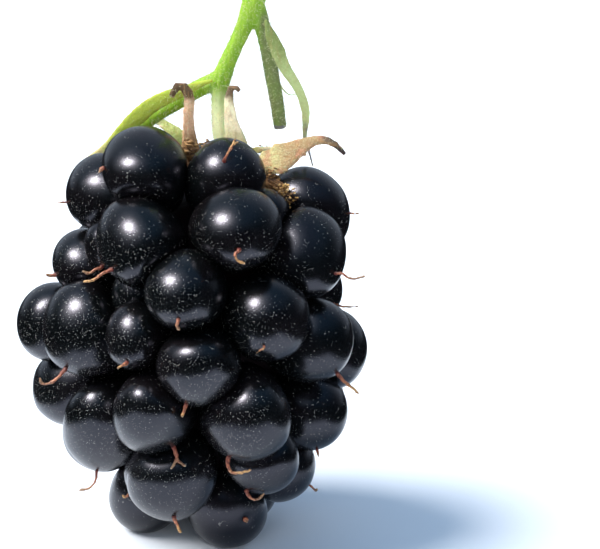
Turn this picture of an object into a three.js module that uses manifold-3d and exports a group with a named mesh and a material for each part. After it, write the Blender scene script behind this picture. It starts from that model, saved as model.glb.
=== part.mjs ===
// A ripe bramble berry, picked with its forked stalk and standing on its blunt tip.
//
// The berry is an aggregate fruit. A pale receptacle, the swollen end of the stalk, runs up its
// middle, and every drupelet is a separate little fruit seated on it. Drupelets swell until they
// press on each other, so each one is a round body with flats where its neighbours touch it. On
// top sit the calyx with its five dried sepals, the ring of spent stamens and the stalk.
//
// Millimetres, +Z up, the front of the berry facing -Y. A bearing of 0 faces -Y and grows
// towards +X. The origin is on the ground, under the middle of the whole object.

import * as THREE from 'three';
import { mergeVertices } from 'three/addons/utils/BufferGeometryUtils.js';
import Module from 'manifold-3d';

const wasm = await Module();
wasm.setup();

// ---- driving dimensions -------------------------------------------------------------------

const GAP = 0.3; // left between two pieces that press on each other
const GROUND_PRESS = 0.16; // how far the lowest drupelets are flattened by the ground
const ROUNDNESS = 2; // subdivisions of a drupelet's ball
const SEAT_SPREAD = 0.22; // how much wider a drupelet is at its seat, before neighbours press it
const SEAT_DEPTH = 1.06; // how far its ball runs on past the seat before it is cut off there
const REACH_OF_NEIGHBOURS = 9.5; // drupelets further apart than this never touch
const SWELLS_TOWARDS = new THREE.Vector3(0, -0.951, 0.309); // the front, and a little up
const SWELLS_ACROSS = new THREE.Vector3(0, 0.309, 0.951); // square to it, up the front

const RECEPTACLE = { x: 0.3, y: 0.7, bottom: 4.2, top: 22.6, radius: 4.6 };
const NECK = { radius: 1.5, from: [0.6, 1.1, 20], to: [1.7, 2.2, 23.2] };
const CALYX = { at: [1.75, 2.3, 24.0], leanBack: 9, leanRight: 8 };
const CUP = { radius: 2.1, rim: 0.2, under: 0.35, over: 0.5 };
const STAMENS = { radius: 2.45, tube: 0.38, below: 0.65 };

const SKIN = { color: 0x0b0c10, roughness: 0.22, metalness: 0 };
const FLESH = { color: 0xd9cfa6, roughness: 0.7, metalness: 0 };
const GREEN = { color: 0x8fb44c, roughness: 0.6, metalness: 0 };
const LEAF = { color: 0xaebd52, roughness: 0.65, metalness: 0 };
const DRIED = { color: 0xa98257, roughness: 0.85, metalness: 0 };
const STRAW = { color: 0x9a7a3c, roughness: 0.9, metalness: 0 };

// One course of drupelets for each level of the berry, from the calyx down to the tip. `rise`
// is how far the drupelets of that course point up from level, in degrees. A row is one
// drupelet: [bearing, height, reach from the axis, wide, tall, deep, lean, nod, sway]. `deep` is
// twice the distance from its middle to its outer end, and `lean` turns it clockwise. `nod` is
// how far its lower end swells forward, for each millimetre below its middle, and `sway` how far
// its right-hand side does. A row without them swells evenly.

const COURSES = [
  { name: 'crown', rise: 50, rows: [
    [-52.5, 25.1, 4.5, 5.35, 4.8, 4.0, -15, 0.32, -0.2],
    [30.5, 24.4, 3.45, 4.4, 4.7, 4.2, 0, -0.05, -0.1],
    [58, 21.6, 4.6, 3.6, 3.4, 3.2, 0],
  ] },
  { name: 'neck', rise: 28, rows: [
    [-100, 22.2, 6.2, 4.8, 4.7, 4.4, 0, 0.15, 0.1],
    [-34, 21.1, 6.9, 4.4, 5.5, 5.0, 30, 0.08, 0.35],
    [21.6, 22.2, 6.6, 5.0, 4.9, 5.1, 0, 0.35, -0.15],
    [98, 21.0, 6.85, 4.8, 5.6, 4.55, 0],
    [172, 21.2, 6.4, 5.2, 5.2, 4.8, 0],
    [-140, 21.2, 6.4, 5.2, 5.2, 4.8, 0],
  ] },
  { name: 'shoulder', rise: 18, rows: [
    [-92, 17.95, 7.25, 3.9, 3.9, 3.85, 0, 0.3, 0],
    [-67, 19.8, 5.9, 2.8, 3.1, 3.2, 0],
    [-6, 18.7, 7.8, 4.6, 4.7, 5.0, -10, 0.25, -0.1],
    [66, 19.7, 7.2, 4.5, 6.0, 4.7, -25, 0.22, -0.22],
    [128, 19.0, 7.2, 5.2, 5.0, 5.0, 0],
    [-163, 17.4, 7.7, 5.2, 5.2, 5.0, 0],
    [-132, 16.8, 7.7, 5.0, 5.2, 5.0, 0],
  ] },
  { name: 'middle', rise: 10, rows: [
    [-66, 14.8, 8.1, 4.6, 5.7, 4.4, 12, 0, 0.2],
    [-30, 15.5, 8.0, 2.9, 4.0, 3.4, 5, 0.1, 0.3],
    [32, 16.6, 8.2, 4.4, 5.0, 4.8, -10, 0, -0.3],
    [97, 15.9, 6.4, 4.4, 4.4, 4.6, 0],
    [128, 14.4, 7.7, 5.0, 5.2, 5.0, 0],
    [160, 16.6, 7.8, 5.2, 5.2, 5.0, 0],
    [-45, 17.1, 5.2, 3.2, 3.6, 3.2, 0],
  ] },
  { name: 'belly', rise: 0, rows: [
    [-93, 13.85, 9.2, 4.6, 4.95, 4.5, 0],
    [0, 13.7, 8.4, 5.0, 4.3, 5.0, 0, -0.65, -0.1],
    [61, 14.2, 8.0, 4.6, 5.0, 4.7, -15],
    [97, 12.0, 7.9, 4.8, 5.15, 4.65, 0],
    [-178, 12.6, 8.4, 5.2, 5.2, 5.0, 0],
    [-148, 12.9, 8.5, 5.2, 5.2, 5.0, 0],
    [-117, 12.0, 8.5, 4.8, 5.2, 4.8, 0],
  ] },
  { name: 'flank', rise: -12, rows: [
    [-93, 9.65, 8.3, 4.4, 4.75, 4.6, 0, 0, 0.35],
    [-62, 8.2, 7.15, 4.1, 6.0, 4.3, -5, -0.5, 0.3],
    [-20.2, 10.7, 8.0, 4.6, 5.0, 5.0, -25, -0.7, -0.05],
    [20.4, 10.5, 8.1, 5.25, 5.5, 5.3, 30, -0.2, 0.15],
    [75, 8.8, 7.0, 4.4, 4.7, 4.4, 0],
    [145, 10.2, 8.3, 5.2, 5.2, 5.0, 0],
    [108, 7.8, 6.9, 4.8, 5.0, 4.6, 0],
    [180, 7.9, 7.6, 5.2, 5.2, 5.0, 0],
    [-142, 8.2, 7.7, 5.2, 5.2, 5.0, 0],
    [-108, 6.2, 6.7, 5.0, 5.0, 4.8, 0],
  ] },
  { name: 'base', rise: -35, rows: [
    [33, 7.2, 6.9, 4.4, 3.9, 4.4, 0, -0.5, 0],
    [78, 5.0, 5.0, 4.4, 4.4, 4.2, 0],
    [-17.6, 5.7, 6.1, 5.2, 4.4, 4.8, 0, -0.45, 0],
    [-50, 5.0, 3.7, 3.8, 3.8, 3.8, 0],
    [144, 5.4, 6.4, 5.2, 5.0, 4.8, 0],
    [-163, 2.5, 4.4, 5.2, 5.0, 4.8, 0],
  ] },
  { name: 'tip', rise: -65, rows: [
    [43, 2.4, 2.4, 5.0, 4.3, 4.75, 0, -0.25, 0],
    [-104, 2.4, 3.65, 4.6, 4.45, 4.8, 0],
    [142, 2.3, 3.5, 5.0, 5.0, 4.8, 0],
  ] },
];

// Every leafy or stalky piece is a rod bent along a curve. `path` is the curve, `width` and
// `thickness` are its full sizes at equal steps along it, and `facing` is where its flat looks.

const SEPALS = [
  { path: [[-0.62, 1.2, 24.6], [-0.66, 1.1, 25.4], [-0.7, 0.95, 26.4], [-0.7, 0.85, 27.3],
           [-0.65, 0.8, 28.1], [-0.85, 0.8, 28.75], [-1.3, 0.8, 28.95], [-1.75, 0.8, 28.25]],
    width: [1.3, 0.95, 0.72, 0.7, 0.68, 0.6, 0.35], thickness: [0.45, 0.4, 0.3],
    facing: [0, -1, 0] },
  { path: [[2.2, 0.9, 24.75], [2.2, 0.9, 25.2], [1.95, 1.1, 26.2], [1.8, 1.3, 27.15],
           [1.75, 1.5, 27.95], [1.9, 1.5, 28.6], [2.15, 1.4, 28.7], [2.4, 1.4, 28.4]],
    width: [1.6, 1.3, 0.9, 0.7, 0.5, 0.25], thickness: [0.4, 0.35, 0.25], facing: [0, -1, 0] },
  { path: [[3.6, 0.8, 24.4], [4.3, 0.45, 24.35], [5.15, 0.35, 24.65], [6.2, 0.25, 25.3],
           [7.15, 0.2, 25.7], [7.95, 0.1, 25.6], [8.5, 0.1, 25.15], [8.8, 0.1, 24.85]],
    width: [1.1, 2.2, 1.4, 0.75, 0.5, 0.25], thickness: [0.35, 0.4, 0.3], facing: [0, -0.8, 0.6] },
  { path: [[-0.75, 3.5, 24.3], [-1.2, 3.8, 24.75], [-1.7, 4.2, 25.1], [-2.3, 4.6, 25.4],
           [-2.9, 4.9, 25.75], [-3.3, 5.2, 25.9]],
    width: [1.0, 1.0, 0.8, 0.6, 0.35], thickness: [0.4, 0.35, 0.25], facing: [0, -0.7, 0.7] },
  { path: [[3.3, 4.0, 23.95], [4.1, 4.6, 23.8], [5.0, 5.3, 23.5], [5.9, 5.9, 23.35],
           [6.4, 6.3, 22.95]],
    width: [1.6, 1.8, 1.2, 0.6, 0.3], thickness: [0.4, 0.35, 0.25], facing: [0, 0.3, 1] },
];

const BRACTS = [
  { side: 'left', width: [0.2, 0.6, 0.85, 1.0, 1.1, 1.05, 0.9, 0.7, 0.45, 0.2],
    thickness: [0.3], facing: [0, -1, 0],
    path: [[0.75, 1.45, 29.1], [0.0, 1.5, 28.85], [-0.85, 1.6, 28.45], [-1.85, 1.7, 28.05],
           [-2.95, 1.8, 27.45], [-3.95, 2.0, 26.55], [-4.95, 2.4, 25.4], [-5.75, 2.9, 24.45],
           [-6.6, 3.5, 23.75], [-7.5, 4.0, 23.1]] },
  { side: 'right', width: [0.2, 0.75, 0.95, 0.8, 0.7, 0.6, 0.6, 0.5, 0.3, 0.16, 0.12],
    thickness: [0.3, 0.25, 0.15], facing: [0, -1, 0],
    path: [[4.0, 1.35, 32.9], [4.3, 1.35, 31.95], [4.75, 1.4, 30.9], [5.15, 1.5, 29.85],
           [5.7, 1.7, 28.95], [6.15, 1.9, 28.0], [6.4, 2.1, 27.05], [6.4, 2.3, 26.1],
           [6.35, 2.5, 25.3], [6.6, 2.6, 24.35], [6.85, 2.7, 23.3]] },
];

const STALK = [
  { path: [[1.15, 2.5, 28.6], [1.55, 2.5, 29.7], [2.15, 2.5, 31.05], [2.8, 2.5, 32.5],
           [3.2, 2.5, 33.65], [3.6, 2.5, 34.7], [4.0, 2.5, 36.1]],
    width: [1.3, 1.1, 1.0, 1.1, 1.4, 1.4, 1.3] },
  { path: [[1.25, 2.5, 29.0], [1.15, 2.4, 27.0], [1.3, 2.3, 25.6], [1.5, 2.3, 24.95]],
    width: [1.15, 1.05, 1.15, 1.4] },
  { path: [[1.3, 2.55, 29.0], [0.4, 2.7, 28.5], [-0.35, 2.8, 28.1], [-1.4, 2.9, 27.4],
           [-2.5, 3.0, 26.7], [-3.45, 3.2, 25.9], [-4.1, 3.4, 25.2]],
    width: [1.15, 1.15, 1.1, 1.0, 0.9] },
  { path: [[3.45, 2.5, 33.4], [3.75, 2.55, 32.3], [4.05, 2.6, 31.0], [4.35, 2.8, 29.05],
           [4.65, 2.9, 27.3], [4.85, 3.0, 25.65]],
    width: [1.1, 1.0, 0.95, 0.9, 0.85] },
];

// ---- solids -------------------------------------------------------------------------------

const degrees = THREE.MathUtils.degToRad;

// The solid of a closed three.js geometry, for cutting and joining.
function solidOf(geometry) {
  const bare = geometry.clone();
  bare.deleteAttribute('normal');
  bare.deleteAttribute('uv');
  const welded = mergeVertices(bare, 1e-4);
  return new wasm.Manifold(new wasm.Mesh({
    numProp: 3,
    vertProperties: new Float32Array(welded.attributes.position.array),
    triVerts: new Uint32Array(welded.index.array),
  }));
}

function geometryOf(solid) {
  const mesh = solid.getMesh();
  const geometry = new THREE.BufferGeometry();
  geometry.setAttribute('position', new THREE.BufferAttribute(mesh.vertProperties, 3));
  geometry.setIndex(new THREE.BufferAttribute(mesh.triVerts, 1));
  geometry.computeVertexNormals();
  return geometry;
}

function piece(name, geometry, finish) {
  const mesh = new THREE.Mesh(geometry, new THREE.MeshStandardMaterial(finish));
  mesh.name = name;
  return mesh;
}

// The size at `along` (0 to 1) in a list of sizes at equal steps.
function sizeAt(sizes, along) {
  const step = along * (sizes.length - 1);
  const before = Math.min(Math.floor(step), Math.max(sizes.length - 2, 0));
  const after = Math.min(before + 1, sizes.length - 1);
  return THREE.MathUtils.lerp(sizes[before], sizes[after], step - before);
}

// A closed rod bent along a path: round, or flat where it is given a thickness of its own.
function bentRod({ path, width, thickness = width, facing = [0, -1, 0] }, sides = 8) {
  const curve = new THREE.CatmullRomCurve3(path.map((p) => new THREE.Vector3(...p)));
  const steps = 2 * (path.length - 1);
  const rod = new THREE.CylinderGeometry(1, 1, 1, sides, steps);
  const look = new THREE.Vector3(...facing).normalize();
  const spot = rod.attributes.position;
  for (let i = 0; i < spot.count; i++) {
    const along = spot.getY(i) + 0.5;
    const tangent = curve.getTangentAt(along);
    const across = look.clone().cross(tangent).normalize();
    const face = across.clone().cross(tangent);
    const p = curve.getPointAt(along)
      .addScaledVector(across, spot.getX(i) * sizeAt(width, along) / 2)
      .addScaledVector(face, spot.getZ(i) * sizeAt(thickness, along) / 2);
    spot.setXYZ(i, p.x, p.y, p.z);
  }
  rod.computeVertexNormals();
  return rod;
}

// Keeps the part of a solid that lies beyond a plane, on the side its normal points to.
function keepBeyond(solid, normal, point, clear) {
  return solid.trimByPlane(normal.toArray(), normal.dot(point) + clear);
}

const berry = new THREE.Group();

// ---- the receptacle -----------------------------------------------------------------------
// An egg up the middle of the berry, with a neck that carries the calyx.

const receptacleMiddle = new THREE.Vector3(
  RECEPTACLE.x, RECEPTACLE.y, (RECEPTACLE.bottom + RECEPTACLE.top) / 2);
const receptacleHalf = new THREE.Vector3(
  RECEPTACLE.radius, RECEPTACLE.radius, (RECEPTACLE.top - RECEPTACLE.bottom) / 2);

const egg = new THREE.SphereGeometry(1, 20, 14);
egg.rotateX(Math.PI / 2);
egg.scale(receptacleHalf.x, receptacleHalf.y, receptacleHalf.z);
egg.translate(receptacleMiddle.x, receptacleMiddle.y, receptacleMiddle.z);
const neck = bentRod({ path: [NECK.from, NECK.to], width: [2 * NECK.radius] }, 16);
berry.add(piece('receptacle', geometryOf(solidOf(egg).add(solidOf(neck))), FLESH));

// ---- the calyx and the stamens ------------------------------------------------------------
// The cup is a saucer under the stalk's end. The stamens are left as a ring below its rim.

const calyxTurn = new THREE.Euler(degrees(-CALYX.leanBack), degrees(CALYX.leanRight), 0);

const saucer = new THREE.LatheGeometry([
  new THREE.Vector2(0, -CUP.under),
  new THREE.Vector2(CUP.radius * 0.6, -CUP.under * 0.9),
  new THREE.Vector2(CUP.radius, -CUP.rim / 2),
  new THREE.Vector2(CUP.radius, CUP.rim / 2),
  new THREE.Vector2(CUP.radius * 0.5, CUP.over * 0.8),
  new THREE.Vector2(0, CUP.over),
], 20);
saucer.rotateX(Math.PI / 2);
const cup = piece('calyx_cup', saucer, GREEN);
const ring = piece('stamens', new THREE.TorusGeometry(STAMENS.radius, STAMENS.tube, 8, 24), STRAW);
const calyxUp = new THREE.Vector3(0, 0, 1).applyEuler(calyxTurn);
cup.position.set(...CALYX.at);
ring.position.copy(cup.position).addScaledVector(calyxUp, -STAMENS.below);
for (const part of [cup, ring]) {
  part.rotation.copy(calyxTurn);
  berry.add(part);
}

// ---- the drupelets ------------------------------------------------------------------------

// Where the line from a drupelet's middle, inwards, first meets the receptacle.
function seatOf(middle, outward) {
  const start = middle.clone().sub(receptacleMiddle).divide(receptacleHalf);
  const along = outward.clone().negate().divide(receptacleHalf);
  const a = along.lengthSq();
  const b = start.dot(along);
  const under = b * b - a * (start.lengthSq() - 1);
  const distance = under > 0 ? (-b - Math.sqrt(under)) / a : -b / a;
  return { distance, point: middle.clone().addScaledVector(outward, -distance) };
}

function layOut(course, [bearing, height, reach, wide, tall, deep, lean, nod = 0, sway = 0]) {
  const turn = new THREE.Matrix4().makeRotationFromEuler(
    new THREE.Euler(degrees(-course.rise), degrees(-lean), degrees(bearing), 'ZXY'));
  const across = new THREE.Vector3(1, 0, 0).applyMatrix4(turn);
  const outward = new THREE.Vector3(0, -1, 0).applyMatrix4(turn);
  const up = new THREE.Vector3(0, 0, 1).applyMatrix4(turn);
  const middle = new THREE.Vector3(
    reach * Math.sin(degrees(bearing)), -reach * Math.cos(degrees(bearing)), height);
  const seat = seatOf(middle, outward);
  const half = { wide: wide / 2, tall: tall / 2, deep: deep / 2 };
  return { middle, across, outward, up, seat, nod, sway, ...half };
}

// How far a drupelet's round body reaches from its middle towards a direction.
function reachTowards(d, direction) {
  const x = direction.dot(d.across) / d.wide;
  const y = direction.dot(d.outward) / d.deep;
  const z = direction.dot(d.up) / d.tall;
  return 1 / Math.hypot(x, y, z);
}

// A ball stretched to the drupelet's sizes: round outside, drawn out to its seat inside, and
// swollen forward at one end or side.
function roundBody(d) {
  const ball = new THREE.IcosahedronGeometry(1, ROUNDNESS);
  const spot = ball.attributes.position;
  for (let i = 0; i < spot.count; i++) {
    const out = -spot.getY(i);
    const along = out > 0 ? d.deep * out : d.seat.distance * SEAT_DEPTH * out;
    const girth = out > 0 ? 1 : 1 - SEAT_SPREAD * out;
    const p = d.middle.clone()
      .addScaledVector(d.across, d.wide * girth * spot.getX(i))
      .addScaledVector(d.up, d.tall * girth * spot.getZ(i))
      .addScaledVector(d.outward, along);
    const offset = p.clone().sub(d.middle);
    const swell = d.sway * offset.x - d.nod * offset.dot(SWELLS_ACROSS);
    p.addScaledVector(SWELLS_TOWARDS, swell * Math.min(1, 1 + out));
    spot.setXYZ(i, p.x, p.y, p.z);
  }
  return solidOf(ball);
}

// Flattened where it meets a neighbour, by a plane between the two.
function clearOfNeighbour(solid, d, other) {
  const away = other.middle.clone().sub(d.middle);
  const apart = away.length();
  if (apart > REACH_OF_NEIGHBOURS) return solid;
  away.divideScalar(apart);
  const mine = reachTowards(d, away);
  const theirs = reachTowards(other, away.clone().negate());
  const share = (apart + (mine * mine - theirs * theirs) / apart) / 2;
  const touch = d.middle.clone().addScaledVector(away, share);
  return keepBeyond(solid, away.negate(), touch, GAP / 2);
}

// Flattened where it meets the ring of stamens, at the ring's nearest point.
function clearOfStamens(solid, d) {
  const sideways = d.middle.clone().sub(ring.position).projectOnPlane(calyxUp);
  const nearest = ring.position.clone().add(sideways.setLength(STAMENS.radius));
  const away = d.middle.clone().sub(nearest).normalize();
  return keepBeyond(solid, away, nearest, STAMENS.tube + GAP);
}

// Cut off at its seat, along the receptacle's skin.
function cutAtSeat(solid, d) {
  const normal = d.seat.point.clone().sub(receptacleMiddle)
    .divide(receptacleHalf).divide(receptacleHalf).normalize();
  return keepBeyond(solid, normal, d.seat.point, GAP);
}

function drupeletSolid(d, all) {
  let solid = roundBody(d);
  for (const other of all) {
    if (other !== d) solid = clearOfNeighbour(solid, d, other);
  }
  solid = clearOfStamens(cutAtSeat(solid, d), d);
  return keepBeyond(solid, new THREE.Vector3(0, 0, 1), new THREE.Vector3(), GROUND_PRESS);
}

const drupelets = COURSES.flatMap((course) => course.rows.map((row, i) => ({
  name: `drupelet_${course.name}_${i + 1}`, ...layOut(course, row),
})));
for (const d of drupelets) berry.add(piece(d.name, geometryOf(drupeletSolid(d, drupelets)), SKIN));

// ---- the sepals, the stalk and its bracts -------------------------------------------------

SEPALS.forEach((sepal, i) => berry.add(piece(`sepal_${i + 1}`, bentRod(sepal), DRIED)));
for (const bract of BRACTS) berry.add(piece(`bract_${bract.side}`, bentRod(bract), LEAF));

const stalk = STALK.map((rod) => solidOf(bentRod(rod))).reduce((all, rod) => all.add(rod));
berry.add(piece('stalk', geometryOf(stalk), GREEN));

// ---- the origin, on the ground under the middle -------------------------------------------

const box = new THREE.Box3().setFromObject(berry, true);
const middle = box.getCenter(new THREE.Vector3());
berry.position.set(-middle.x, -middle.y, -box.min.z);

export default berry;
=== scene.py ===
import math
import random

import bpy
from mathutils import Matrix, Vector


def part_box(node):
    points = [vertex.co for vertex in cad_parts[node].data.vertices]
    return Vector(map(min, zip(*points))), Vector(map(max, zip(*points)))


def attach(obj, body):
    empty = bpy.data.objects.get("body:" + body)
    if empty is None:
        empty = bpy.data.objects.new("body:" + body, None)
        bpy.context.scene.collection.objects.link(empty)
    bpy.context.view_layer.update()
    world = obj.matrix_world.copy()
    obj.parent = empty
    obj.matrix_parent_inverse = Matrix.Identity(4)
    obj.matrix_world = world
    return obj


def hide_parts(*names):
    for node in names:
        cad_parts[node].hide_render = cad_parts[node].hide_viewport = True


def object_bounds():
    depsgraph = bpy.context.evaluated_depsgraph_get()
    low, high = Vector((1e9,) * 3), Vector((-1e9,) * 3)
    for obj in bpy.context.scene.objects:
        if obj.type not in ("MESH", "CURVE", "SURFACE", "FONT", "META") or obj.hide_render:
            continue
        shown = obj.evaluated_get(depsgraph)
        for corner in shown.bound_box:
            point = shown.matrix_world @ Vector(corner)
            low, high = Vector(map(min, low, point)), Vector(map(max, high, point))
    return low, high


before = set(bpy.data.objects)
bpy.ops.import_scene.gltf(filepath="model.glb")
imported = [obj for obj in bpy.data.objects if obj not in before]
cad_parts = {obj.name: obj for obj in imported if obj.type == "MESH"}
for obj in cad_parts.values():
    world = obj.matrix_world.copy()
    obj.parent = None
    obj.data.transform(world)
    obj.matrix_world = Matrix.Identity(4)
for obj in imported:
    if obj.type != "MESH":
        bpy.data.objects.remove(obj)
cad_low, cad_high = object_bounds()


# ---- Receptacle ---------------------------------------------------------------------------
# The spongy end of the stalk, which every drupelet is seated on. Its flesh is pale and
# stained by juice; it is coloured nearly black all over, part juice stain and part painted
# shade, since it only shows in the shaded gaps between them. It is one grown piece.

MM = 0.001
WELD = 0.001 * MM  # points of a CAD solid that are closer than this become one
WORKING_SCALE = 100  # a small solid is remeshed at this many times its size
SMOOTHING = 0.5  # how far each round of smoothing moves a point

JUICE_AND_SHADE_RED = (0.006, 0.0015, 0.003, 1)
JUICE_AND_SHADE_BLACK = (0.002, 0.0008, 0.0015, 1)


def pick(piece):
    """Makes a piece the only one selected, and the active one."""
    bpy.ops.object.select_all(action="DESELECT")
    piece.select_set(True)
    bpy.context.view_layer.objects.active = piece


def shape_with(piece, kind, **settings):
    """Adds a modifier with those settings and applies it."""
    modifier = piece.modifiers.new(kind, kind)
    for name, value in settings.items():
        setattr(modifier, name, value)
    pick(piece)
    bpy.ops.object.modifier_apply(modifier=modifier.name)


def resize(piece, factor):
    """Makes a piece's mesh larger or smaller about the origin."""
    piece.data.transform(Matrix.Scale(factor, 4))


def grown_copy(node, name, cell, rounds):
    """A smooth copy of a CAD solid: welded, remeshed in even cells and rounded off."""
    piece = bpy.data.objects.new(name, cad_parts[node].data.copy())
    bpy.context.scene.collection.objects.link(piece)
    piece.data.materials.clear()
    pick(piece)
    bpy.ops.object.mode_set(mode="EDIT")
    bpy.ops.mesh.select_all(action="SELECT")
    bpy.ops.mesh.remove_doubles(threshold=WELD)
    bpy.ops.object.mode_set(mode="OBJECT")
    resize(piece, WORKING_SCALE)
    shape_with(piece, "REMESH", mode="VOXEL", voxel_size=cell * WORKING_SCALE)
    resize(piece, 1 / WORKING_SCALE)
    shape_with(piece, "SMOOTH", factor=SMOOTHING, iterations=rounds)
    bpy.ops.object.shade_smooth()
    return piece


class Tone:
    """A socket of a finish's nodes. An expression on it adds the Math nodes that work it out."""

    def __init__(self, tree, socket=None):
        self.tree = tree
        self.socket = socket

    def node(self, kind, settings, inputs, output=0):
        """Adds a node: its settings first, then the values or links of its sockets."""
        made = self.tree.nodes.new("ShaderNode" + kind)
        for name, value in settings.items():
            setattr(made, name, value)
        for name, value in inputs.items():
            if isinstance(value, Tone):
                self.tree.links.new(value.socket, made.inputs[name])
            else:
                made.inputs[name].default_value = value
        return Tone(self.tree, made.outputs[output] if made.outputs else None)

    def also(self, output):
        """Another output of the node that this one comes from."""
        return Tone(self.tree, self.socket.node.outputs[output])

    def maths(self, operation, first, second):
        """A Math node on two values or tones."""
        return self.node("Math", {"operation": operation}, {0: first, 1: second})

    def __add__(self, other):
        return self.maths("ADD", self, other)

    def __sub__(self, other):
        return self.maths("SUBTRACT", self, other)

    def __rsub__(self, other):
        return self.maths("SUBTRACT", other, self)

    def __mul__(self, other):
        return self.maths("MULTIPLY", self, other)

    def __lt__(self, other):
        return self.maths("LESS_THAN", self, other)

    def __gt__(self, other):
        return self.maths("GREATER_THAN", self, other)

    __radd__ = __add__
    __rmul__ = __mul__

    def rises(self, low, high):
        """0 below low and 1 above high, with a soft step between them."""
        return self.node("MapRange", {"interpolation_type": "SMOOTHSTEP"},
                         {"Value": self, "From Min": low, "From Max": high})

    def noise(self, per_mm, detail=2.0, spread=0.5):
        """Noise on this place, with that many lumps to the millimetre."""
        return self.node("TexNoise", {}, {"Vector": self, "Scale": per_mm, "Detail": detail,
                                          "Roughness": spread}, "Fac")

    def over(self, under, colour):
        """This mask's colour laid over another: sockets 6, 7 and 2 of a Mix node are colours."""
        return self.node("Mix", {"data_type": "RGBA"}, {0: self, 6: under, 7: colour}, 2)

    def bump(self, height_mm):
        """A relief of this height, where the tone is 1, for a finish's Normal."""
        return self.node("Bump", {}, {"Height": self, "Distance": height_mm * MM})


def begin_finish(name):
    """A new finish, and the place on the piece in millimetres, which its patterns follow."""
    finish = bpy.data.materials.new(name)
    finish.use_nodes = True
    finish.node_tree.nodes.clear()
    metres = Tone(finish.node_tree).node("TexCoord", {}, {}, "Object")
    return finish, metres.node("VectorMath", {"operation": "SCALE"}, {0: metres, "Scale": 1 / MM})


def end_finish(place, **sockets):
    """Lays the surface itself: a Principled shader with those values and links."""
    named = {name.replace("_", " "): value for name, value in sockets.items()}
    surface = place.node("BsdfPrincipled", {}, named)
    place.node("OutputMaterial", {}, {"Surface": surface})


def flesh_finish():
    finish, place = begin_finish("stained_flesh")
    stain = place.noise(0.6, 3.0)
    wet = place.noise(3.0)
    # near-black colours: part juice stain, part painted shade for the gaps between drupelets
    colour = stain.rises(0.35, 0.6).over(JUICE_AND_SHADE_RED, JUICE_AND_SHADE_BLACK)
    end_finish(place, Base_Color=colour, Roughness=0.5 + 0.3 * wet, Normal=wet.bump(0.05),
               Specular_IOR_Level=0.12)
    return finish


receptacle = grown_copy("receptacle", "juice_stained_core", cell=0.25 * MM, rounds=8)
receptacle.data.materials.append(flesh_finish())
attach(receptacle, "root")
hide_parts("receptacle")


# ---- Drupelets ----------------------------------------------------------------------------
# Each drupelet is a small fruit of its own, a thin glossy skin round juicy flesh and one pip.
# It swells until it meets its neighbours, and sits on the receptacle by its inner end.

BALL_SUBDIVISIONS = 5
SKIN_ROUNDS = 60  # smoothing that takes the flats off a drupelet
SKIN_PROUD = 0.23 * MM  # makes up for what the smoothing takes, and closes the seams
SKIN_LUMPS = 0.05 * MM
LUMP_SIZE = 1.9 * MM
CUT_EXACT = 0.0001 * MM  # how close to the ground a point counts as on it
SHARP_EDGE = math.radians(40)  # the skin's edge on the ground is sharper than this

SKIN_BLUE = (0.0013, 0.0019, 0.0021, 1)
SKIN_WINE = (0.0028, 0.0022, 0.0027, 1)
BLOOM = (0.14, 0.15, 0.17, 1)  # the thin grey film on a ripe skin
DUST = (0.70, 0.69, 0.64, 1)
SKIN_SHEEN = (0.86, 0.85, 1.0, 1)

# how many of each there are to the millimetre
SKIN_GRAIN = 18.0
DUST_GRAINS = 14.0
CRUMBS = 1.3
LINT_FOLDS = 2.6

# Most dust lies on the side that this points to, the front where the light shows the
# specks, so gathering it there is partly painted light. It thins out towards the ground, the
# calyx and the right, each between these two distances from the origin, in millimetres.
DUSTY_AND_LIT_SIDE = (-0.25, -0.94, -0.15)
DUST_TO_GROUND = (1.5, 7.0)
DUST_TO_CALYX = (20.5, 23.0)
DUST_TO_RIGHT = (3.0, 7.5)

lumps = bpy.data.textures.new("skin_lumps", "CLOUDS")
lumps.noise_scale = LUMP_SIZE
lumps.noise_depth = 0


def ripe_drupelet(node):
    """A taut round skin over one CAD drupelet."""
    low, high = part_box(node)
    bpy.ops.object.select_all(action="DESELECT")
    bpy.ops.mesh.primitive_ico_sphere_add(
        subdivisions=BALL_SUBDIVISIONS, radius=(high - low).length, location=(low + high) / 2)
    piece = bpy.context.object
    piece.name = node.replace("drupelet", "ripe_drupelet")
    bpy.ops.object.transform_apply()
    shape_with(piece, "SHRINKWRAP", target=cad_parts[node], wrap_method="PROJECT",
               use_negative_direction=True, use_positive_direction=False)
    shape_with(piece, "SMOOTH", factor=SMOOTHING, iterations=SKIN_ROUNDS)
    shape_with(piece, "DISPLACE", strength=SKIN_PROUD, mid_level=0)
    shape_with(piece, "DISPLACE", texture=lumps, texture_coords="LOCAL", strength=SKIN_LUMPS)
    if min(vertex.co.z for vertex in piece.data.vertices) < 0:  # the ground presses it flat
        bpy.ops.object.mode_set(mode="EDIT")
        bpy.ops.mesh.select_all(action="SELECT")
        bpy.ops.mesh.bisect(plane_co=(0, 0, 0), plane_no=(0, 0, 1), clear_inner=True,
                            use_fill=True, threshold=CUT_EXACT)
        bpy.ops.object.mode_set(mode="OBJECT")
    bpy.ops.object.shade_smooth_by_angle(angle=SHARP_EDGE)
    return piece


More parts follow.
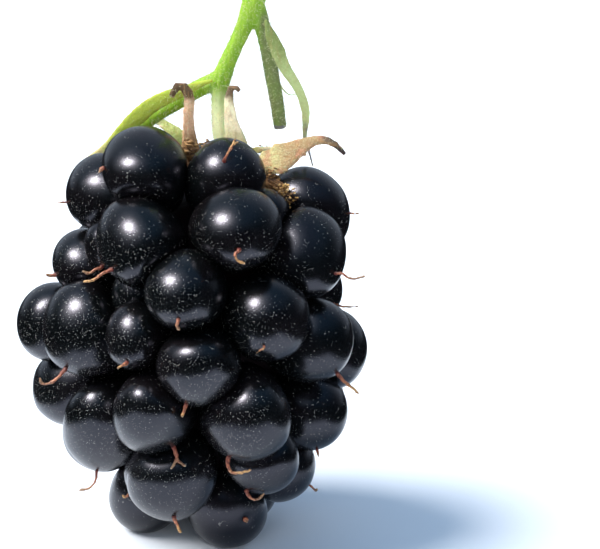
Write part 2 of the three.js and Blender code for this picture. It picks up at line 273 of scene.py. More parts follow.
def skin_finish():
    """Near-black gloss with a fine grain, dust specks gathered on the front as painted light, a
    few crumbs and threads of lint.
    """
    finish, place = begin_finish("ripe_skin")
    depth = place.noise(0.3, 3.0)
    colour = depth.rises(0.4, 0.65).over(SKIN_BLUE, SKIN_WINE)
    grain = place.noise(SKIN_GRAIN, 2.0, 0.6)
    patch = place.noise(0.45, 2.0).rises(0.40, 0.62)
    film = grain.rises(0.50, 0.78) * (0.02 + 0.05 * patch)
    colour = film.over(colour, BLOOM)

    # painted light: pale dust specks gather on skin facing the front, where the light shows them
    faces = place.node("NewGeometry", {}, {}, "Normal")
    front = faces.node("VectorMath", {"operation": "DOT_PRODUCT"},
                       {0: faces, 1: DUSTY_AND_LIT_SIDE}, "Value").rises(0.2, 0.9)
    height = place.node("SeparateXYZ", {}, {"Vector": place}, "Z")
    dusty = (1 - 0.7 * height.also("X").rises(*DUST_TO_RIGHT)) * height.rises(
        *DUST_TO_GROUND) * (1 - 0.9 * height.rises(*DUST_TO_CALYX))
    dust = place.node("TexVoronoi", {}, {"Vector": place, "Scale": DUST_GRAINS}, "Distance")
    drawn = dust.node("SeparateColor", {}, {"Color": dust.also("Color")}, "Red")
    specks = (dust < 0.12 + 0.13 * drawn.also("Green")) * (
        drawn + 0.22 * patch + 0.48 * front * dusty > 1.04)
    crumbs = place.node("TexVoronoi", {}, {"Vector": place, "Scale": CRUMBS}, "Distance")
    chosen = crumbs.node("SeparateColor", {}, {"Color": crumbs.also("Color")}, "Green")
    crumb = (crumbs < 0.035) * (chosen > 0.65)
    strand = place.noise(LINT_FOLDS, 0.0)
    lint = (strand > 0.488) * (strand < 0.512) * (place.noise(3.3, 0.0) > 0.71)
    glint = drawn.also("Blue")
    pale = specks * (0.06 + 1.3 * glint * glint * glint) + crumb * 0.5 + lint * 0.15
    colour = pale.over(colour, DUST)
    roughness = 0.17 + 0.10 * grain + 0.3 * pale
    end_finish(place, Base_Color=colour, Roughness=roughness, IOR=1.50,
               Specular_Tint=SKIN_SHEEN, Normal=(grain + 0.6 * pale).bump(0.006))
    return finish


drupelet_nodes = sorted(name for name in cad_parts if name.startswith("drupelet"))
ripe_skin = skin_finish()
drupelets = {}
for node in drupelet_nodes:
    drupelet = ripe_drupelet(node)
    drupelet.data.materials.append(ripe_skin)
    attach(drupelet, "root")
    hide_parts(node)
    drupelets[node.replace("drupelet_", "")] = drupelet


# ---- Styles -------------------------------------------------------------------------------
# The dried style of the flower stays on the outer end of every drupelet as a short wine-red to
# straw-coloured thread, often hooked. It grows out of the skin in a small dimple.

STYLE_RADIUS = 0.072 * MM
DIMPLE_DEPTH = 0.10 * MM
DIMPLE_SIZE = 0.55 * MM
STYLE_SINK = 0.12 * MM  # how far a style starts inside the skin
STYLE_ROUGHNESS = 0.10 * MM
STYLE_GRAIN = 0.13 * MM

WINE_RED = (0.11, 0.010, 0.010, 1)
RED_TAN = (0.36, 0.12, 0.06, 1)
STRAW = (0.48, 0.26, 0.09, 1)
DUN = (0.26, 0.15, 0.075, 1)
STIGMA_GREY = (0.52, 0.40, 0.28, 1)
STYLE_SHADE = (0.07, 0.012, 0.006, 1)

# drupelet: (bearing and rise of its root from the drupelet's middle in degrees, thickness,
# and the points that it runs through, in millimetres from its root)
SEEN_STYLES = {
    "crown_1": (-57, 15, 1.2, [(-0.17, -0.15, -0.18)]),
    "crown_2": (0, 44, 1.0, [(0.24, -0.1, 0.5), (0.48, 0.0, 0.92), (0.62, 0.1, 1.26)]),
    "neck_1": (-80, -5, 0.7, [(-0.2, -0.1, 0.03), (-0.41, -0.15, 0.05)]),
    "neck_2": (-42, -23, 1.2, [(-0.47, -0.2, -0.18), (-1.0, -0.28, -0.53), (-1.54, -0.3, -0.65)]),
    "neck_3": (6, -3, 1.15, [(-0.23, -0.2, -0.18), (-0.14, -0.3, -0.48), (0.24, -0.3, -0.70)]),
    "neck_4": (78, 0, 0.6, [(0.2, -0.1, -0.02), (0.46, -0.15, 0.03)]),
    "shoulder_1": (-69, -8, 1.3, [(-0.24, -0.1, 0.0), (-0.44, -0.15, 0.07)]),
    "shoulder_2": (-38, -29, 1.2, [(-0.35, -0.2, -0.06), (-0.72, -0.28, -0.30),
                                   (-1.07, -0.3, -0.16)]),
    "shoulder_3": (-7, -14, 1.15, [(-0.06, -0.2, -0.24), (0.02, -0.28, -0.42)]),
    "shoulder_4": (52, -13, 1.0, [(0.36, -0.2, 0.04), (0.72, -0.25, -0.22), (1.2, -0.28, -0.24),
                                   (1.62, -0.25, -0.10)]),
    "middle_1": (-40, -42, 1.2, [(-0.42, -0.2, -0.44), (-0.97, -0.28, -0.80), (-1.39, -0.3, -0.79),
                                 (-1.5, -0.3, -0.54)]),
    "middle_2": (-19, -25, 1.2, [(-0.29, -0.2, -0.08), (-0.47, -0.25, -0.18)]),
    "middle_3": (1, -16, 0.9, [(-0.04, -0.2, -0.06)]),
    "middle_4": (48, -15, 0.8, [(0.67, -0.25, -0.08), (1.34, -0.3, -0.05)]),
    "belly_2": (-23, -46, 1.2, [(-0.13, -0.2, -0.36), (-0.19, -0.28, -0.52)]),
    "belly_3": (55, -36, 1.3, [(0.36, -0.15, -0.38), (0.79, -0.2, -0.73), (1.21, -0.25, -1.10)]),
    "flank_2": (-86, -75, 0.9, [(-0.14, -0.1, -0.58), (-0.51, -0.2, -0.94),
                                (-1.06, -0.25, -1.06)]),
    "flank_3": (53, -57, 1.2, [(0.16, -0.2, -0.52), (0.02, -0.28, -0.86), (-0.15, -0.28, -1.13)]),
    "flank_4": (-32, -54, 1.35, [(0.06, -0.2, -0.56), (0.24, -0.25, -0.76), (0.6, -0.28, -0.80),
                                 (1.32, -0.3, -0.64)]),
    "flank_5": (35, -60, 0.8, [(0.04, -0.1, -0.14), (0.08, -0.15, -0.26)]),
    "base_1": (-32, -58, 1.2, [(0.23, -0.2, -0.29), (0.6, -0.28, -0.40), (1.02, -0.3, -0.06)]),
    "base_3": (5, -55, 1.3, [(0.18, -0.2, -0.32), (0.36, -0.28, -0.78)]),
    "tip_1": (32, -5, 1.6, [(0.04, -0.08, -0.10)]),
}
# the second branch of a forked style: its thickness and its points from the same root
STYLE_FORKS = {
    "crown_2": (0.9, [(0.24, -0.1, 0.5), (0.48, 0.0, 0.92), (0.78, 0.1, 1.1)]),
    "flank_3": (1.1, [(0.16, -0.2, -0.52), (0.34, -0.26, -0.78), (0.63, -0.28, -1.0)]),
    "middle_3": (0.45, [(-0.2, -0.15, -0.14), (-0.42, -0.2, -0.28)]),
}

# styles on the other drupelets: the rise of the root and how far it is turned away from the
# front, both in degrees, and the length in millimetres
HIDDEN_STYLE_RISE = -38
TURNED_BACK = 40
HIDDEN_STYLE_LENGTH = 0.8
STRAY = 20  # degrees that their roots stray to either side
SIDEWAYS = 50  # degrees that they bend to either side
THICKNESSES = (0.8, 1.5)
LENGTHS = (0.5, 1.5)
HIDDEN_TRAIL = [(0.4, 1, -30), (0.8, 1, -35), (1, 1.6, -10)]  # how far along, bend and rise
ROOM_UNDER = 4 * STYLE_RADIUS  # a drupelet whose style would root lower than this has none

# thickness of a style along its length, times its own
ROOT_SWELLING = [1.5, 1.35]
THINNING = 0.35
STIGMA_BEAD = [0.85, 0.5]


def heading(bearing, rise):
    """A direction from a bearing that is 0 at the front and a rise from level, in degrees."""
    b, r = math.radians(bearing), math.radians(rise)
    return Vector((math.sin(b) * math.cos(r), -math.cos(b) * math.cos(r), math.sin(r)))


def threads(name, radius, sides, steps=4):
    """An empty bundle of round threads: how many sides, and how many steps between knots."""
    curve = bpy.data.curves.new(name, "CURVE")
    curve.dimensions = "3D"
    curve.bevel_depth = radius
    curve.bevel_resolution = sides // 2 - 2
    curve.resolution_u = steps
    curve.use_fill_caps = True
    bundle = bpy.data.objects.new(name, curve)
    bpy.context.scene.collection.objects.link(bundle)
    return bundle


def add_thread(bundle, points, thickness):
    """One more thread through these points, with a thickness at each."""
    spline = bundle.data.splines.new("BEZIER")
    spline.bezier_points.add(len(points) - 1)
    for knot, point, thick in zip(spline.bezier_points, points, thickness):
        knot.co = point
        knot.radius = thick
        knot.handle_left_type = knot.handle_right_type = "AUTO"


def made_mesh(bundle):
    """The bundle with its threads turned into one mesh."""
    pick(bundle)
    bpy.ops.object.convert(target="MESH")
    bpy.ops.object.shade_smooth()
    return bpy.context.object


def middle_of(piece):
    """The middle of a piece's box."""
    corners = [Vector(corner) for corner in piece.bound_box]
    return sum(corners, Vector()) / len(corners)


def root_on(drupelet, bearing, rise):
    """Where a line from the drupelet's middle leaves its skin, and which way the skin faces."""
    _, spot, facing, _ = drupelet.ray_cast(middle_of(drupelet), heading(bearing, rise))
    return spot, facing


def dimple(drupelet, spot, facing):
    """Sinks the skin round a style's root."""
    pick(drupelet)
    for vertex in drupelet.data.vertices:
        vertex.select = False
    nearest = min(drupelet.data.vertices, key=lambda vertex: (vertex.co - spot).length)
    nearest.select = True
    bpy.ops.object.mode_set(mode="EDIT")
    bpy.ops.mesh.select_mode(type="VERT")
    bpy.ops.transform.translate(value=-DIMPLE_DEPTH * facing, use_proportional_edit=True,
                                proportional_edit_falloff="SMOOTH",
                                proportional_size=DIMPLE_SIZE)
    bpy.ops.object.mode_set(mode="OBJECT")


def style_finish():
    """Wine red at the root, tan to straw beyond, and grey at the stigma, with a dark fibre."""
    finish, place = begin_finish("dried_style")
    along = place.node("SeparateXYZ", {}, {"Vector": place.node("TexCoord", {}, {}, "UV")}, "X")
    uneven = along + 0.6 * place.noise(5.0) - 0.3
    kind = place.noise(0.22, 0.0)
    colour = uneven.rises(0.10, 0.38).over(WINE_RED, RED_TAN)
    dried = kind.rises(0.45, 0.6).over(STRAW, DUN)
    colour = uneven.rises(0.35, 0.7).over(colour, dried)
    colour = uneven.rises(0.85, 1.0).over(colour, STIGMA_GREY)
    fibre = place.noise(9.0)
    colour = (0.85 * fibre.rises(0.48, 0.60)).over(colour, STYLE_SHADE)
    end_finish(place, Base_Color=colour, Roughness=0.30 + 0.35 * fibre, Normal=fibre.bump(0.04))
    return finish


def style_points(spot, facing, trail):
    """From just inside the skin, along the trail, to a stigma as long as the style is thick."""
    points = [spot - STYLE_SINK * facing, spot] + [spot + MM * Vector(step) for step in trail]
    onward = (points[-1] - points[-2]).normalized()
    return points + [points[-1] + STYLE_RADIUS * onward]


def tapered(count, thickness):
    """Thickness from a swollen root, along a thinner middle, to the stigma's bead."""
    between = count - len(ROOT_SWELLING) - len(STIGMA_BEAD)
    middle = [1 - THINNING * step / count for step in range(between)]
    return [thickness * times for times in (*ROOT_SWELLING, *middle, *STIGMA_BEAD)]


style_skin = bpy.data.textures.new("style_skin", "CLOUDS")
style_skin.noise_scale = STYLE_GRAIN
style_skin.noise_depth = 0

styles = threads("dried_styles", STYLE_RADIUS, sides=8)
axis = (cad_low + cad_high) / 2
draw = random.Random(7)
for name, drupelet in drupelets.items():
    if name in SEEN_STYLES:
        bearing, rise, thickness, trail = SEEN_STYLES[name]
        spot, facing = root_on(drupelet, bearing, rise)
    else:
        out = middle_of(drupelet) - axis
        bearing = math.degrees(math.atan2(out.x, -out.y))
        bearing += math.copysign(TURNED_BACK, bearing) + draw.uniform(-STRAY, STRAY)
        spot, facing = root_on(drupelet, bearing, HIDDEN_STYLE_RISE)
        thickness = draw.uniform(*THICKNESSES)
        length = HIDDEN_STYLE_LENGTH * draw.uniform(*LENGTHS)
        side = draw.uniform(-SIDEWAYS, SIDEWAYS)
        trail = [along * length * heading(bearing + bend * side, rise)
                 for along, bend, rise in HIDDEN_TRAIL]
    if spot.z < ROOM_UNDER:
        continue
    dimple(drupelet, spot, facing)
    points = style_points(spot, facing, trail)
    add_thread(styles, points, tapered(len(points), thickness))
    if name in STYLE_FORKS:
        thickness, trail = STYLE_FORKS[name]
        points = style_points(spot, facing, trail)
        add_thread(styles, points, tapered(len(points), thickness))
styles = made_mesh(styles)
shape_with(styles, "DISPLACE", texture=style_skin, texture_coords="LOCAL",
           strength=STYLE_ROUGHNESS)
styles.data.materials.append(style_finish())
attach(styles, "root")


# ---- Calyx cup and stamens ----------------------------------------------------------------
# The flower's cup stays on the receptacle's neck. Round its rim stands a ring of spent
# stamens, dry brown threads with a bead of an anther on each, tangled and bent outwards.

THREAD_RADIUS = 0.026 * MM
BEAD = 3.8  # an anther's thickness, in threads
CURL = 0.12 * MM  # radius of the curl at a thread's end
CURL_STEPS = (0, 90, 180, 250)  # degrees round the curl
ROUND_ABOUT = 70  # threads that stand all round the ring
RING_WITHIN = 0.9  # they root this far out on the ring
ROUND_LENGTHS = (0.5, 1.2)  # in millimetres
THREAD_TAPER = [1, 0.8, 0.9, 0.9]
FELT = (9.0, 3.0, 0.7)  # lumps of felt to the millimetre, their detail and their spread

CALYX_GREEN = (0.20, 0.23, 0.055, 1)
CALYX_BROWN = (0.22, 0.13, 0.055, 1)
CALYX_FELT = (0.50, 0.46, 0.28, 1)
THREAD_DARK = (0.03, 0.012, 0.006, 1)
THREAD_BROWN = (0.18, 0.085, 0.03, 1)
ANTHER_BROWN = (0.34, 0.19, 0.07, 1)
ANTHER_GOLD = (0.56, 0.31, 0.08, 1)
ANTHER_PALE = (0.85, 0.68, 0.40, 1)
BLEACHED_FROM = (5.2, 5.9)  # the threads are bleached to the right of this, in millimetres

# tufts that spread past the drupelets: (middle from the ring's middle, radius, threads, curl)
TUFTS = [
    (Vector((3.4, -3.7, -0.7)) * MM, 0.85 * MM, 90, CURL),
    (Vector((2.7, -2.0, 0.35)) * MM, 0.60 * MM, 60, CURL),
    (Vector((-2.35, -2.3, 2.0)) * MM, 0.55 * MM, 34, 2 * CURL),
    (Vector((-1.2, -1.9, 1.9)) * MM, 0.35 * MM, 10, CURL),
]


def calyx_finish():
    finish, place = begin_finish("calyx_felt")
    patch = place.noise(1.2, 3.0)
    felt = place.noise(*FELT)
    colour = patch.rises(0.35, 0.65).over(CALYX_GREEN, CALYX_BROWN)
    colour = (0.5 * felt.rises(0.45, 0.7)).over(colour, CALYX_FELT)
    end_finish(place, Base_Color=colour, Roughness=0.75 + 0.2 * felt, Normal=felt.bump(0.05))
    return finish


def stamen_finish():
    finish, place = begin_finish("spent_stamens")
    along = place.node("SeparateXYZ", {}, {"Vector": place.node("TexCoord", {}, {}, "UV")}, "X")
    patch = place.noise(1.6, 3.0)
    dry = place.noise(12.0)
    bleached = place.node("SeparateXYZ", {}, {"Vector": place}, "X").rises(*BLEACHED_FROM)
    colour = patch.rises(0.35, 0.6).over(THREAD_DARK, THREAD_BROWN)
    end = (along - 0.2 + 0.4 * dry).rises(0.55, 0.8)
    colour = end.over(colour, ANTHER_BROWN)
    colour = (bleached * end).over(colour, ANTHER_GOLD)
    colour = (bleached * end * dry.rises(0.52, 0.66)).over(colour, ANTHER_PALE)
    end_finish(place, Base_Color=colour, Roughness=0.6 + 0.3 * dry, Normal=dry.bump(0.03))
    return finish


cup = grown_copy("calyx_cup", "felted_calyx_cup", cell=0.1 * MM, rounds=6)
cup.data.materials.append(calyx_finish())
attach(cup, "root")
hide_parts("calyx_cup")

ring_low, ring_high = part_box("stamens")
ring_middle = (ring_low + ring_high) / 2
ring_radius = (ring_high.x - ring_low.x) / 2 * RING_WITHIN
tangle = threads("stamen_threads", THREAD_RADIUS, sides=4)


def stamen(root, through, end, curl):
    """One spent stamen from the ring to a curled end with its anther."""
    turn, tilt = draw.uniform(0, 360), draw.uniform(-60, 60)
    loop = [end + curl * heading(turn + step, tilt) * draw.uniform(0.7, 1.3)
            for step in CURL_STEPS]
    bead = BEAD * draw.uniform(0.4, 1.1)
    add_thread(tangle, [root, through, *loop], [*THREAD_TAPER, bead, 0.6 * bead])


for _ in range(ROUND_ABOUT):
    turn = draw.uniform(-180, 180)
    root = ring_middle + ring_radius * heading(turn, 0)
    end = root + draw.uniform(*ROUND_LENGTHS) * MM * heading(turn, draw.uniform(-10, 50))
    lift = 0.2 * (end - root).length * heading(draw.uniform(0, 360), draw.uniform(-60, 80))
    stamen(root, (root + end) / 2 + lift, end, CURL)
for middle, radius, count, curl in TUFTS:
    bearing = math.degrees(math.atan2(middle.x, -middle.y))
    for _ in range(count):
        root = ring_middle + ring_radius * heading(bearing + draw.uniform(-15, 15), 0)
        inside, outside = [ring_middle + middle + radius * reach * heading(
            draw.uniform(0, 360), draw.uniform(-90, 90)) for reach in (0.4, draw.uniform(0.3, 1))]
        stamen(root, inside, outside, curl)
stamens = made_mesh(tangle)
rim = grown_copy("stamens", "stamen_rim", cell=0.1 * MM, rounds=4)
pick(stamens)
rim.select_set(True)
bpy.ops.object.join()
stamens.name = "spent_stamens"
stamens.data.materials.append(stamen_finish())
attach(stamens, "root")
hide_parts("stamens")


# ---- Sepals -------------------------------------------------------------------------------
# Five dried sepals stand and curl back round the stalk. Each is a thin felted leaf that is
# green or cream at its foot and brown where it has dried, with its tip hooked over.

WRINKLE = 0.07 * MM
WRINKLE_SIZE = 0.28 * MM
SEPAL_HAIRS = 220
SEPAL_HAIR = 0.26 * MM

wrinkles = bpy.data.textures.new("leaf_wrinkles", "CLOUDS")
wrinkles.noise_scale = WRINKLE_SIZE
wrinkles.noise_depth = 1

PALE_GREEN = (0.40, 0.46, 0.14, 1)
YELLOW_GREEN = (0.36, 0.46, 0.03, 1)
CREAM = (0.92, 0.83, 0.55, 1)
OLIVE_CREAM = (0.54, 0.50, 0.22, 1)
LEATHER = (0.40, 0.22, 0.08, 1)
PINK_TAN = (0.86, 0.54, 0.34, 1)
OLIVE_TAN = (0.34, 0.22, 0.10, 1)
BLUSH = (0.46, 0.20, 0.11, 1)
UMBER = (0.032, 0.017, 0.017, 1)
CHESTNUT = (0.085, 0.046, 0.016, 1)
DULL_BROWN = (0.14, 0.085, 0.045, 1)
PALE_FELT = (0.80, 0.74, 0.50, 1)
WORN_BROWN = (0.22, 0.13, 0.06, 1)

# how finely the veins are drawn across a leaf and along it, to the millimetre, and its felt
VEINS_ACROSS = 5
VEINS_ALONG = 0.8
LEAF_FELT = (11.0, 3.0, 0.7)

# sepal: colours at its foot, middle and tip, how red it has dried, and which way it runs
SEPAL_LOOKS = {
    "sepal_1": (LEATHER, PINK_TAN, CHESTNUT, 0.3, Vector((0, 0, 1))),
    "sepal_2": (OLIVE_CREAM, CREAM, DULL_BROWN, 0.1, Vector((0.1, 0, 1))),
    "sepal_3": (OLIVE_CREAM, OLIVE_TAN, UMBER, 0.75, Vector((1, 0, 0.1))),
    "sepal_4": (PALE_GREEN, PALE_GREEN, CREAM, 0, Vector((-1, 0, 0))),
    "sepal_5": (PALE_GREEN, CREAM, LEATHER, 0.3, Vector((1, 0, 0))),
}


def span_along(node, way):
    """How far a CAD node reaches along a direction, in millimetres: its start and its length."""
    reach = [way.dot(vertex.co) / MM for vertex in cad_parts[node].data.vertices]
    return min(reach), max(reach) - min(reach)


def leaf_finish(name, node, foot, middle, tip, red, way, pale_felt=0.4):
    """Felted leaf that changes colour from its foot to its tip, with veins along it."""
    finish, place = begin_finish(name)
    start, length = span_along(node, way)
    along = place.node("VectorMath", {"operation": "DOT_PRODUCT"}, {0: place, 1: way}, "Value")
    blotch = place.noise(1.5, 3.0)
    at = (along - start) * (1 / length) + 0.3 * blotch - 0.15
    colour = at.rises(0.12, 0.42).over(foot, middle)
    colour = (red * place.noise(1.1).rises(0.48, 0.60)).over(colour, BLUSH)
    withered = at.rises(0.68, 0.86)
    colour = withered.over(colour, tip)
    across = Vector(VEINS_ACROSS - (VEINS_ACROSS - VEINS_ALONG) * abs(part) for part in way)
    veins = place.node("VectorMath", {"operation": "MULTIPLY"}, {0: place, 1: across}).noise(1.0)
    colour = ((0.2 + 0.4 * red) * veins.rises(0.5, 0.66)).over(colour, LEATHER)
    felt = place.noise(*LEAF_FELT)
    felted = pale_felt * (1 - 0.85 * withered)
    colour = (felted * felt.rises(0.45, 0.75)).over(colour, PALE_FELT)
    worn = (0.2 + 0.3 * red) * (1 - withered)
    colour = (worn * felt.rises(0.62, 0.30)).over(colour, WORN_BROWN)
    end_finish(place, Base_Color=colour, Roughness=0.7 + 0.25 * felt,
               Normal=(felt + 0.8 * veins).bump(0.06),
               Subsurface_Weight=0.2, Subsurface_Scale=0.4 * MM)
    return finish


dressed = []  # the pieces that carry down, with how many hairs and how long
for node, (foot, middle, tip, red, way) in SEPAL_LOOKS.items():
    sepal = grown_copy(node, "dried_" + node, cell=0.05 * MM, rounds=10)
    shape_with(sepal, "DISPLACE", texture=wrinkles, texture_coords="LOCAL", strength=WRINKLE)
    sepal.data.materials.append(leaf_finish("felt_" + node, node, foot, middle, tip, red, way))
    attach(sepal, "root")
    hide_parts(node)
    dressed.append((sepal, SEPAL_HAIRS, SEPAL_HAIR))


# ---- Stalk and bracts ---------------------------------------------------------------------
# The green stalk forks twice, once to a side branch and once to a stub that ends in a cut.
# It is downy, ribbed along its length, and carries two thin leafy bracts at the forks. One
# torn fibre still joins the stub to the right bract.

BARK_LUMPS = 0.05 * MM
RIBS = (5, 5, 0.7)  # how finely the ribs are drawn across the stalk and up it
STALK_HAIRS = 3200
STALK_HAIR = 0.28 * MM
BRACT_HAIRS = 240
BRACT_HAIR = 0.24 * MM

STALK_GREEN = (0.17, 0.33, 0.004, 1)
STALK_YELLOW = (0.27, 0.44, 0.02, 1)
PAINTED_LIGHT_MINT = (0.95, 1.0, 0.60, 1)
OLIVE = (0.16, 0.20, 0.060, 1)
MIST_GREEN = (0.50, 0.60, 0.24, 1)
CUT_GREY = (0.16, 0.15, 0.15, 1)
STALK_DOWN = (0.62, 0.74, 0.36, 1)
DEEP_GREEN = (0.17, 0.24, 0.05, 1)

# where the berry's own stem, the stub and the stub's cut end lie, in millimetres
PEDICEL_TOP = 28.7
PEDICEL_LEFT = 0.9
STUB_LEFT = 4.0
STUB_TOP = 33.6
STUB_CUT = 25.75


def stalk_finish():
    finish, place = begin_finish("downy_stalk")
    z = place.node("SeparateXYZ", {}, {"Vector": place}, "Z")
    x = z.also("X")
    drawn_out = place.node("VectorMath", {"operation": "MULTIPLY"}, {0: place, 1: RIBS})
    ribs = drawn_out.noise(1.0, 2.0)
    felt = place.noise(*FELT)
    blotch = place.noise(2.0, 2.0)
    colour = ribs.rises(0.3, 0.72).over(STALK_GREEN, STALK_YELLOW)
    # painted light: the berry's own stem below the fork is painted pale mint, as if the lamp shone
    # on and through it
    below = (PEDICEL_TOP - z).rises(0.0, 2.2)
    beside = (x - PEDICEL_LEFT).rises(0.0, 0.5)
    lit_pedicel = below * beside * (x < STUB_LEFT)
    colour = (lit_pedicel * (0.65 + 0.5 * blotch)).over(colour, PAINTED_LIGHT_MINT)
    stub = (x - STUB_LEFT).rises(0.0, 0.5) * (STUB_TOP - z).rises(0.0, 1.2)
    colour = (stub * (0.55 + 0.8 * blotch)).over(colour, OLIVE)
    colour = (stub * (z < STUB_CUT)).over(colour, CUT_GREY)
    colour = (0.12 * felt.rises(0.5, 0.75)).over(colour, STALK_DOWN)
    end_finish(place, Base_Color=colour, Roughness=0.5 + 0.3 * felt,
               Normal=(ribs + 0.4 * felt).bump(0.05),
               Subsurface_Weight=0.25, Subsurface_Scale=0.6 * MM)
    return finish


stalk = grown_copy("stalk", "downy_stalk", cell=0.08 * MM, rounds=14)
shape_with(stalk, "DISPLACE", texture=wrinkles, texture_coords="LOCAL", strength=BARK_LUMPS)
stalk.data.materials.append(stalk_finish())
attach(stalk, "root")
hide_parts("stalk")
dressed.append((stalk, STALK_HAIRS, STALK_HAIR))

# bract: colours at its foot, middle and tip, and which way it runs
BRACT_LOOKS = {
    "bract_left": (YELLOW_GREEN, YELLOW_GREEN, OLIVE_CREAM, Vector((-1, 0, -0.3))),
    "bract_right": (DEEP_GREEN, MIST_GREEN, CUT_GREY, Vector((0.2, 0, -1))),
}
for node, (foot, middle, tip, way) in BRACT_LOOKS.items():
    bract = grown_copy(node, "leafy_" + node, cell=0.05 * MM, rounds=8)
    shape_with(bract, "DISPLACE", texture=wrinkles, texture_coords="LOCAL", strength=BARK_LUMPS)
    bract.data.materials.append(leaf_finish("green_" + node, node, foot, middle, tip, 0, way,
                                            pale_felt=0.15))
    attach(bract, "root")
    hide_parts(node)
    dressed.append((bract, BRACT_HAIRS, BRACT_HAIR))


# the fibre's start on the stub, and its points from there to the bract, in millimetres
FIBRE_RADIUS = 0.05 * MM
FIBRE_START = Vector((5.45, 2.8, 28.3)) * MM
FIBRE_TRAIL = [(0, 0, 0), (0.3, 0, -0.42), (0.65, 0, -0.66), (1.05, 0.1, -0.62)]
FIBRE_TAPER = [1.2, 1, 0.8, 0.6]

fibre = threads("loose_fibre", FIBRE_RADIUS, sides=6)
add_thread(fibre, [FIBRE_START + Vector(step) * MM for step in FIBRE_TRAIL], FIBRE_TAPER)
fibre = made_mesh(fibre)
fibre.data.materials.append(leaf_finish("loose_fibre", "bract_right", OLIVE, MIST_GREEN, CUT_GREY,
                                        0, Vector((1, 0, 0))))
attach(fibre, "root")


# ---- Down ---------------------------------------------------------------------------------
# Fine pale hairs cover the stalk, the bracts and the sepals. Each grows out of the skin under
# it and tapers to a bent tip.

HAIR_RADIUS = 0.0085 * MM
HAIR_ROOT = 0.03 * MM  # how far a hair starts inside the piece
HAIR_LENGTHS = (0.5, 1.3)  # shortest and longest, times the piece's own
HAIR_TAPER = [1, 0.8, 0.2]
HAIR_KNEE = 0.55  # how far along a hair its bend is
HAIR_LEAN = 0.5
HAIR_BEND = 0.35

DOWN_GREEN = (0.45, 0.54, 0.22, 1)
DOWN_CREAM = (0.66, 0.62, 0.42, 1)


def down_finish():
    finish, place = begin_finish("pale_down")
    shade = place.noise(1.0)
    colour = shade.rises(0.3, 0.7).over(DOWN_GREEN, DOWN_CREAM)
    end_finish(place, Base_Color=colour, Roughness=0.55 + 0.2 * shade)
    return finish


down = threads("fine_down", HAIR_RADIUS, sides=4, steps=1)
for piece, count, length in dressed:
    faces = piece.data.polygons
    for face in draw.choices(faces, [face.area for face in faces], k=count):
        lean = heading(draw.uniform(0, 360), draw.uniform(-90, 90))
        tall = length * draw.uniform(*HAIR_LENGTHS)
        stand = (face.normal + HAIR_LEAN * lean).normalized()
        points = [face.center - HAIR_ROOT * face.normal, face.center + HAIR_KNEE * tall * stand,
                  face.center + tall * (stand + HAIR_BEND * lean).normalized()]
        add_thread(down, points, HAIR_TAPER)
down = made_mesh(down)
down.data.materials.append(down_finish())
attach(down, "root")


# ---- Ground, light and camera -------------------------------------------------------------
# The berry stands on a wide white sheet under one strong soft lamp, high on its left, with
# a blue-white ceiling of light over it. Three black cards, which only glossy skins mirror,
# keep them dark.

SHEET_SIZE = 4.0
SHEET_DROP = 0.02 * MM  # keeps the sheet clear of the berry's flat underside

# which way each lamp lies from the berry
LAMP_TOWARDS = Vector((-0.62, -0.07, 0.80))
WINDOW_TOWARDS = Vector((-0.51, -0.28, 0.81))
GLOW_TOWARDS = Vector((-0.505, -0.33, 0.80))
FILL_TOWARDS = Vector((0.10, -0.97, 0.22))

WARM = (1.0, 0.96, 0.90)
NEUTRAL = (1.0, 1.0, 1.0)
COOL = (0.85, 0.93, 1.0)

# each far lamp: where it is, how strong, its colour, its breadth in degrees, and whether it
# is only mirrored by what is glossy, or only lights what is dull
LAMPS = {
    "lamp": (LAMP_TOWARDS, 6.5, WARM, 42, False),
    "fill": (FILL_TOWARDS, 1.6, NEUTRAL, 60, False),
    "window": (WINDOW_TOWARDS, 5.6, WARM, 20, True),
    "window_glow": (GLOW_TOWARDS, 1.7, WARM, 44, True),
    "window_haze": (GLOW_TOWARDS, 0.75, COOL, 80, True),
}

SHEET_WHITE = (0.82, 0.88, 0.97, 1)
CARD_BLACK = (0.01, 0.01, 0.012, 1)

# the ceiling's colours, low and high up, for what is dull and for what is glossy, then the
# pale wall behind the berry, and what is seen by looking past it
DULL_LOW = (0.04, 0.075, 0.12, 1)
DULL_HIGH = (0.20, 0.42, 0.68, 1)
GLOSSY_LOW = (0.012, 0.02, 0.03, 1)
GLOSSY_HIGH = (0.12, 0.27, 0.44, 1)
BEHIND = (0.62, 0.72, 0.85, 1)
SEEN_WHITE = (1, 1, 1, 1)
HIGH_UP = (0.2, 1.0)
FAR_BACK = (0.1, 0.9)

CARDS = {  # bearing of each black card from the berry, and the distance of its near edge
    "front_card": (-8, 29 * MM),
    "left_card": (-90, 22 * MM),
    "right_card": (100, 26 * MM),
}

VIEW_LIFT = math.radians(18)
VIEW_DISTANCE = 260 * MM
VIEW_AIM = Vector((6.688, 4.951, 15.4)) * MM  # the berry stands left of the middle of the view
LENS = 249.6
CLEAR_AHEAD = VIEW_DISTANCE / 20  # nothing stands nearer to the camera than this

bpy.ops.object.select_all(action="DESELECT")
bpy.ops.mesh.primitive_plane_add(size=SHEET_SIZE, location=(0, 0, -SHEET_DROP))
sheet = bpy.context.object
sheet.name = "white_sheet"


def sheet_finish():
    finish, place = begin_finish("white_sheet")
    end_finish(place, Base_Color=SHEET_WHITE, Roughness=0.9)
    return finish


sheet.data.materials.append(sheet_finish())


def card_finish():
    finish, place = begin_finish("black_card")
    end_finish(place, Base_Color=CARD_BLACK, Roughness=0.9, Specular_IOR_Level=0.0)
    return finish


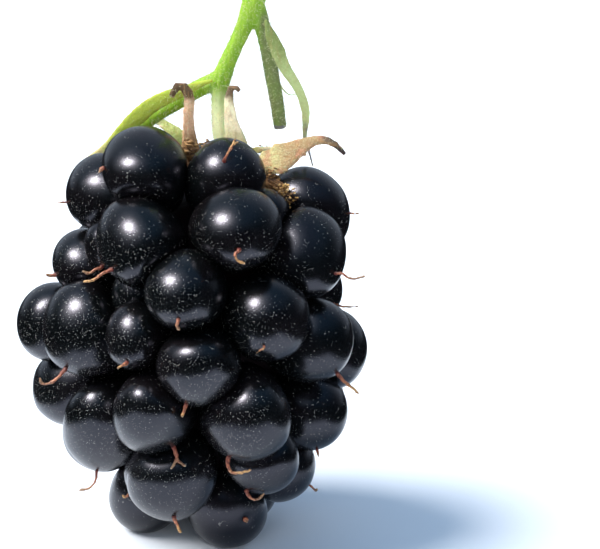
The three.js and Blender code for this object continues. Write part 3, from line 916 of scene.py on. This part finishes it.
black_card = card_finish()
for name, (bearing, clear) in CARDS.items():
    bpy.ops.mesh.primitive_plane_add(
        size=SHEET_SIZE, location=(clear + SHEET_SIZE / 2) * heading(bearing, 0),
        rotation=(0, 0, math.radians(bearing)))
    card = bpy.context.object
    card.name = name
    card.visible_camera = card.visible_diffuse = card.visible_shadow = False
    card.data.materials.append(black_card)

for name, (towards, strength, colour, breadth, mirrored) in LAMPS.items():
    lamp = bpy.data.objects.new(name, bpy.data.lights.new(name, "SUN"))
    lamp.data.energy = strength
    lamp.data.color = colour
    lamp.data.angle = math.radians(breadth)
    lamp.rotation_euler = towards.to_track_quat("Z", "Y").to_euler()
    lamp.visible_glossy = mirrored
    lamp.visible_diffuse = not mirrored
    bpy.context.scene.collection.objects.link(lamp)


def lit_ceiling():
    """White where it is looked at, its own colours where it lights and where it is mirrored."""
    ceiling = bpy.data.worlds.new("ceiling")
    ceiling.use_nodes = True
    ceiling.node_tree.nodes.clear()
    looked_at = Tone(ceiling.node_tree).node("LightPath", {}, {}, "Is Camera Ray")
    way = looked_at.node("TexCoord", {}, {}, "Generated")
    height = way.node("SeparateXYZ", {}, {"Vector": way}, "Z")
    high_up = height.rises(*HIGH_UP)
    behind = height.also("Y").rises(*FAR_BACK)
    sky = looked_at.also("Is Glossy Ray").over(high_up.over(DULL_LOW, DULL_HIGH),
                                               high_up.over(GLOSSY_LOW, GLOSSY_HIGH))
    sky = looked_at.over(behind.over(sky, BEHIND), SEEN_WHITE)
    shine = sky.node("Background", {}, {"Color": sky})
    shine.node("OutputWorld", {}, {"Surface": shine})
    return ceiling


bpy.context.scene.world = lit_ceiling()

camera = bpy.data.objects.new("camera", bpy.data.cameras.new("camera"))
camera.data.lens = LENS
camera.data.clip_start = CLEAR_AHEAD
toward_camera = Vector((0, -math.cos(VIEW_LIFT), math.sin(VIEW_LIFT)))
camera.location = VIEW_AIM + VIEW_DISTANCE * toward_camera
camera.rotation_euler = (math.pi / 2 - VIEW_LIFT, 0, 0)
bpy.context.scene.collection.objects.link(camera)
bpy.context.scene.camera = camera
bpy.context.scene.view_settings.view_transform = "Standard"
